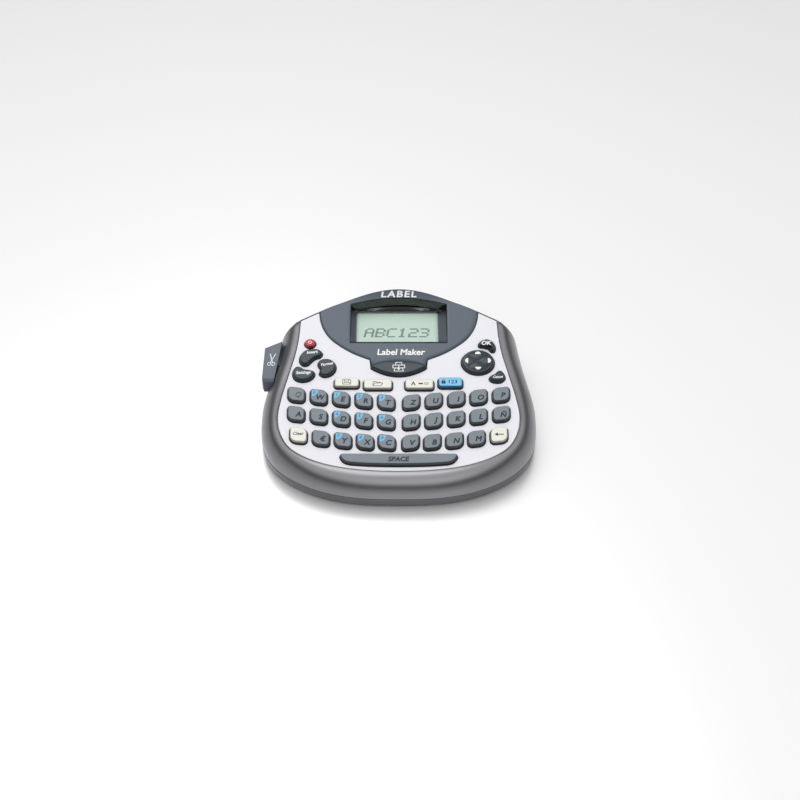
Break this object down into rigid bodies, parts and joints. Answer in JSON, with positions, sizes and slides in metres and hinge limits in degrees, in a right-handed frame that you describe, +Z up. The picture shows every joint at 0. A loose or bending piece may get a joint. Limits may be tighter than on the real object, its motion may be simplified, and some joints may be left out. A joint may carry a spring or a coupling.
{
  "type": "desktop label maker",
  "caption": "Desktop label printer with a tilted full keyboard, recessed display, navigation pad, side tape cutter lever and rear cassette door.",
  "frame": {"origin": "middle of the footprint on the table plane", "axes": "+X to the right, +Y to the rear, +Z up; the front edge faces -Y"},
  "size_m": [0.179, 0.1528, 0.054],
  "materials": {
    "silver_plastic": "satin silver paint on moulded plastic",
    "base_plastic": "satin grey",
    "white_plastic": "glossy white",
    "panel_plastic": "satin blue-grey",
    "clear_window": "clear pale green",
    "lcd": "matt display module",
    "board": "solder mask green",
    "lever_plastic": "fine grain blue-grey",
    "blade_steel": "ground",
    "head_metal": "plain",
    "roller_rubber": "matt black",
    "motor_steel": "plain",
    "gear_plastic": "natural",
    "cassette_plastic": "translucent grey",
    "cell_wrap": "printed sleeve, plain blue",
    "teal_rubber": "satin dark blue-grey",
    "grey_rubber": "matt grey",
    "ivory_rubber": "matt ivory",
    "blue_rubber": "matt light blue",
    "red_plastic": "glossy"
  },
  "bodies": {
    "housing": {"base_shell": "base_plastic", "top_shell": "silver_plastic", "keypad_plate": "white_plastic", "display_bezel": "panel_plastic", "display_window": "clear_window", "lcd_module": "lcd", "circuit_board": "board", "print_head": "head_metal", "feed_motor": "motor_steel", "tape_cassette": "cassette_plastic", "battery_pack": "cell_wrap"},
    "cassette_door": {"cassette_door": "panel_plastic"},
    "cutter": {"cutter_lever": "lever_plastic", "cutter_blade": "blade_steel"},
    "battery_door": {"battery_door": "base_plastic"},
    "platen": {"platen_roller": "roller_rubber"},
    "pinion": {"motor_pinion": "gear_plastic"},
    "nav_pad": {"nav_pad": "teal_rubber"},
    "key_q": {"key_q": "grey_rubber"},
    "key_w": {"key_w": "grey_rubber"},
    "key_e": {"key_e": "grey_rubber"},
    "key_r": {"key_r": "grey_rubber"},
    "key_t": {"key_t": "grey_rubber"},
    "key_z": {"key_z": "grey_rubber"},
    "key_u": {"key_u": "grey_rubber"},
    "key_i": {"key_i": "grey_rubber"},
    "key_o": {"key_o": "grey_rubber"},
    "key_p": {"key_p": "grey_rubber"},
    "key_a": {"key_a": "grey_rubber"},
    "key_s": {"key_s": "grey_rubber"},
    "key_d": {"key_d": "grey_rubber"},
    "key_f": {"key_f": "grey_rubber"},
    "key_g": {"key_g": "grey_rubber"},
    "key_h": {"key_h": "grey_rubber"},
    "key_j": {"key_j": "grey_rubber"},
    "key_k": {"key_k": "grey_rubber"},
    "key_l": {"key_l": "grey_rubber"},
    "key_n_tilde": {"key_n_tilde": "grey_rubber"},
    "key_clear": {"key_clear": "ivory_rubber"},
    "key_euro": {"key_euro": "grey_rubber"},
    "key_y": {"key_y": "grey_rubber"},
    "key_x": {"key_x": "grey_rubber"},
    "key_c": {"key_c": "grey_rubber"},
    "key_v": {"key_v": "grey_rubber"},
    "key_b": {"key_b": "grey_rubber"},
    "key_n": {"key_n": "grey_rubber"},
    "key_m": {"key_m": "grey_rubber"},
    "key_backspace": {"key_backspace": "ivory_rubber"},
    "key_space": {"key_space": "grey_rubber"},
    "key_save": {"key_save": "ivory_rubber"},
    "key_open": {"key_open": "ivory_rubber"},
    "key_case": {"key_case": "ivory_rubber"},
    "key_numlock": {"key_numlock": "blue_rubber"},
    "button_insert": {"button_insert": "teal_rubber"},
    "button_format": {"button_format": "teal_rubber"},
    "button_settings": {"button_settings": "teal_rubber"},
    "button_power": {"button_power": "red_plastic"},
    "button_ok": {"button_ok": "teal_rubber"},
    "button_cancel": {"button_cancel": "teal_rubber"},
    "button_print": {"button_print": "teal_rubber"}
  },
  "joints": [
    {"name": "cassette_door_hinge", "type": "hinge", "parent": "housing", "child": "cassette_door", "pos_m": [0, 0.0751, 0.0097], "axis": [-1, 0, 0], "range_deg": [0, 85]},
    {"name": "cutter_press", "type": "hinge", "parent": "housing", "child": "cutter", "pos_m": [-0.084, 0.0074, 0.025], "axis": [-1, 0, 0], "range_deg": [0, 7], "stiffness_Nm_per_rad": 0.6, "springref_deg": -2.86},
    {"name": "battery_door_slide", "type": "slide", "parent": "housing", "child": "battery_door", "axis": [0, -1, 0], "range_m": [0, 0.011]},
    {"name": "platen_spin", "type": "hinge", "parent": "housing", "child": "platen", "pos_m": [-0.04, 0.0424, 0.0173], "axis": [0, 1, 0], "continuous": true},
    {"name": "pinion_spin", "type": "hinge", "parent": "housing", "child": "pinion", "pos_m": [-0.053, 0.0324, 0.0173], "axis": [0, 1, 0], "continuous": true},
    {"name": "nav_tilt", "type": "hinge", "parent": "housing", "child": "nav_pad", "pos_m": [0.0516, 0.01439, 0.0349], "axis": [1, 0, 0], "range_deg": [-3, 3], "stiffness_Nm_per_rad": 0.2},
    {"name": "button_print_press", "type": "slide", "parent": "housing", "child": "button_print", "axis": [0, 0.1908, -0.9816], "range_m": [0, 0.0012], "stiffness_N_per_m": 250, "springref_m": -0.0004},
    {"name": "button_power_press", "type": "slide", "parent": "housing", "child": "button_power", "axis": [0, 0.1908, -0.9816], "range_m": [0, 0.0012], "stiffness_N_per_m": 250, "springref_m": -0.0004},
    {"name": "key_space_press", "type": "slide", "parent": "housing", "child": "key_space", "axis": [0, 0.1908, -0.9816], "range_m": [0, 0.0012], "stiffness_N_per_m": 250, "springref_m": -0.0004},
    {"name": "button_ok_press", "type": "slide", "parent": "housing", "child": "button_ok", "axis": [0, 0.1908, -0.9816], "range_m": [0, 0.0012], "stiffness_N_per_m": 250, "springref_m": -0.0004},
    {"name": "button_cancel_press", "type": "slide", "parent": "housing", "child": "button_cancel", "axis": [0, 0.1908, -0.9816], "range_m": [0, 0.0012], "stiffness_N_per_m": 250, "springref_m": -0.0004},
    {"name": "button_insert_press", "type": "slide", "parent": "housing", "child": "button_insert", "axis": [0, 0.1908, -0.9816], "range_m": [0, 0.0012], "stiffness_N_per_m": 250, "springref_m": -0.0004},
    {"name": "button_format_press", "type": "slide", "parent": "housing", "child": "button_format", "axis": [0, 0.1908, -0.9816], "range_m": [0, 0.0012], "stiffness_N_per_m": 250, "springref_m": -0.0004},
    {"name": "button_settings_press", "type": "slide", "parent": "housing", "child": "button_settings", "axis": [0, 0.1908, -0.9816], "range_m": [0, 0.0012], "stiffness_N_per_m": 250, "springref_m": -0.0004},
    {"name": "key_numlock_press", "type": "slide", "parent": "housing", "child": "key_numlock", "axis": [0, 0.1908, -0.9816], "range_m": [0, 0.0012], "stiffness_N_per_m": 250, "springref_m": -0.0004},
    {"name": "key_save_press", "type": "slide", "parent": "housing", "child": "key_save", "axis": [0, 0.1908, -0.9816], "range_m": [0, 0.0012], "stiffness_N_per_m": 250, "springref_m": -0.0004},
    {"name": "key_open_press", "type": "slide", "parent": "housing", "child": "key_open", "axis": [0, 0.1908, -0.9816], "range_m": [0, 0.0012], "stiffness_N_per_m": 250, "springref_m": -0.0004},
    {"name": "key_case_press", "type": "slide", "parent": "housing", "child": "key_case", "axis": [0, 0.1908, -0.9816], "range_m": [0, 0.0012], "stiffness_N_per_m": 250, "springref_m": -0.0004},
    {"name": "key_q_press", "type": "slide", "parent": "housing", "child": "key_q", "axis": [0, 0.1908, -0.9816], "range_m": [0, 0.0012], "stiffness_N_per_m": 250, "springref_m": -0.0004},
    {"name": "key_w_press", "type": "slide", "parent": "housing", "child": "key_w", "axis": [0, 0.1908, -0.9816], "range_m": [0, 0.0012], "stiffness_N_per_m": 250, "springref_m": -0.0004},
    {"name": "key_e_press", "type": "slide", "parent": "housing", "child": "key_e", "axis": [0, 0.1908, -0.9816], "range_m": [0, 0.0012], "stiffness_N_per_m": 250, "springref_m": -0.0004},
    {"name": "key_r_press", "type": "slide", "parent": "housing", "child": "key_r", "axis": [0, 0.1908, -0.9816], "range_m": [0, 0.0012], "stiffness_N_per_m": 250, "springref_m": -0.0004},
    {"name": "key_t_press", "type": "slide", "parent": "housing", "child": "key_t", "axis": [0, 0.1908, -0.9816], "range_m": [0, 0.0012], "stiffness_N_per_m": 250, "springref_m": -0.0004},
    {"name": "key_z_press", "type": "slide", "parent": "housing", "child": "key_z", "axis": [0, 0.1908, -0.9816], "range_m": [0, 0.0012], "stiffness_N_per_m": 250, "springref_m": -0.0004},
    {"name": "key_u_press", "type": "slide", "parent": "housing", "child": "key_u", "axis": [0, 0.1908, -0.9816], "range_m": [0, 0.0012], "stiffness_N_per_m": 250, "springref_m": -0.0004},
    {"name": "key_i_press", "type": "slide", "parent": "housing", "child": "key_i", "axis": [0, 0.1908, -0.9816], "range_m": [0, 0.0012], "stiffness_N_per_m": 250, "springref_m": -0.0004},
    {"name": "key_o_press", "type": "slide", "parent": "housing", "child": "key_o", "axis": [0, 0.1908, -0.9816], "range_m": [0, 0.0012], "stiffness_N_per_m": 250, "springref_m": -0.0004},
    {"name": "key_p_press", "type": "slide", "parent": "housing", "child": "key_p", "axis": [0, 0.1908, -0.9816], "range_m": [0, 0.0012], "stiffness_N_per_m": 250, "springref_m": -0.0004},
    {"name": "key_a_press", "type": "slide", "parent": "housing", "child": "key_a", "axis": [0, 0.1908, -0.9816], "range_m": [0, 0.0012], "stiffness_N_per_m": 250, "springref_m": -0.0004},
    {"name": "key_s_press", "type": "slide", "parent": "housing", "child": "key_s", "axis": [0, 0.1908, -0.9816], "range_m": [0, 0.0012], "stiffness_N_per_m": 250, "springref_m": -0.0004},
    {"name": "key_d_press", "type": "slide", "parent": "housing", "child": "key_d", "axis": [0, 0.1908, -0.9816], "range_m": [0, 0.0012], "stiffness_N_per_m": 250, "springref_m": -0.0004},
    {"name": "key_f_press", "type": "slide", "parent": "housing", "child": "key_f", "axis": [0, 0.1908, -0.9816], "range_m": [0, 0.0012], "stiffness_N_per_m": 250, "springref_m": -0.0004},
    {"name": "key_g_press", "type": "slide", "parent": "housing", "child": "key_g", "axis": [0, 0.1908, -0.9816], "range_m": [0, 0.0012], "stiffness_N_per_m": 250, "springref_m": -0.0004},
    {"name": "key_h_press", "type": "slide", "parent": "housing", "child": "key_h", "axis": [0, 0.1908, -0.9816], "range_m": [0, 0.0012], "stiffness_N_per_m": 250, "springref_m": -0.0004},
    {"name": "key_j_press", "type": "slide", "parent": "housing", "child": "key_j", "axis": [0, 0.1908, -0.9816], "range_m": [0, 0.0012], "stiffness_N_per_m": 250, "springref_m": -0.0004},
    {"name": "key_k_press", "type": "slide", "parent": "housing", "child": "key_k", "axis": [0, 0.1908, -0.9816], "range_m": [0, 0.0012], "stiffness_N_per_m": 250, "springref_m": -0.0004},
    {"name": "key_l_press", "type": "slide", "parent": "housing", "child": "key_l", "axis": [0, 0.1908, -0.9816], "range_m": [0, 0.0012], "stiffness_N_per_m": 250, "springref_m": -0.0004},
    {"name": "key_n_tilde_press", "type": "slide", "parent": "housing", "child": "key_n_tilde", "axis": [0, 0.1908, -0.9816], "range_m": [0, 0.0012], "stiffness_N_per_m": 250, "springref_m": -0.0004},
    {"name": "key_clear_press", "type": "slide", "parent": "housing", "child": "key_clear", "axis": [0, 0.1908, -0.9816], "range_m": [0, 0.0012], "stiffness_N_per_m": 250, "springref_m": -0.0004},
    {"name": "key_euro_press", "type": "slide", "parent": "housing", "child": "key_euro", "axis": [0, 0.1908, -0.9816], "range_m": [0, 0.0012], "stiffness_N_per_m": 250, "springref_m": -0.0004},
    {"name": "key_y_press", "type": "slide", "parent": "housing", "child": "key_y", "axis": [0, 0.1908, -0.9816], "range_m": [0, 0.0012], "stiffness_N_per_m": 250, "springref_m": -0.0004},
    {"name": "key_x_press", "type": "slide", "parent": "housing", "child": "key_x", "axis": [0, 0.1908, -0.9816], "range_m": [0, 0.0012], "stiffness_N_per_m": 250, "springref_m": -0.0004},
    {"name": "key_c_press", "type": "slide", "parent": "housing", "child": "key_c", "axis": [0, 0.1908, -0.9816], "range_m": [0, 0.0012], "stiffness_N_per_m": 250, "springref_m": -0.0004},
    {"name": "key_v_press", "type": "slide", "parent": "housing", "child": "key_v", "axis": [0, 0.1908, -0.9816], "range_m": [0, 0.0012], "stiffness_N_per_m": 250, "springref_m": -0.0004},
    {"name": "key_b_press", "type": "slide", "parent": "housing", "child": "key_b", "axis": [0, 0.1908, -0.9816], "range_m": [0, 0.0012], "stiffness_N_per_m": 250, "springref_m": -0.0004},
    {"name": "key_n_press", "type": "slide", "parent": "housing", "child": "key_n", "axis": [0, 0.1908, -0.9816], "range_m": [0, 0.0012], "stiffness_N_per_m": 250, "springref_m": -0.0004},
    {"name": "key_m_press", "type": "slide", "parent": "housing", "child": "key_m", "axis": [0, 0.1908, -0.9816], "range_m": [0, 0.0012], "stiffness_N_per_m": 250, "springref_m": -0.0004},
    {"name": "key_backspace_press", "type": "slide", "parent": "housing", "child": "key_backspace", "axis": [0, 0.1908, -0.9816], "range_m": [0, 0.0012], "stiffness_N_per_m": 250, "springref_m": -0.0004}
  ],
  "couplings": [
    {"joint": "pinion_spin", "follows": "platen_spin", "ratio": -1.6}
  ]
}
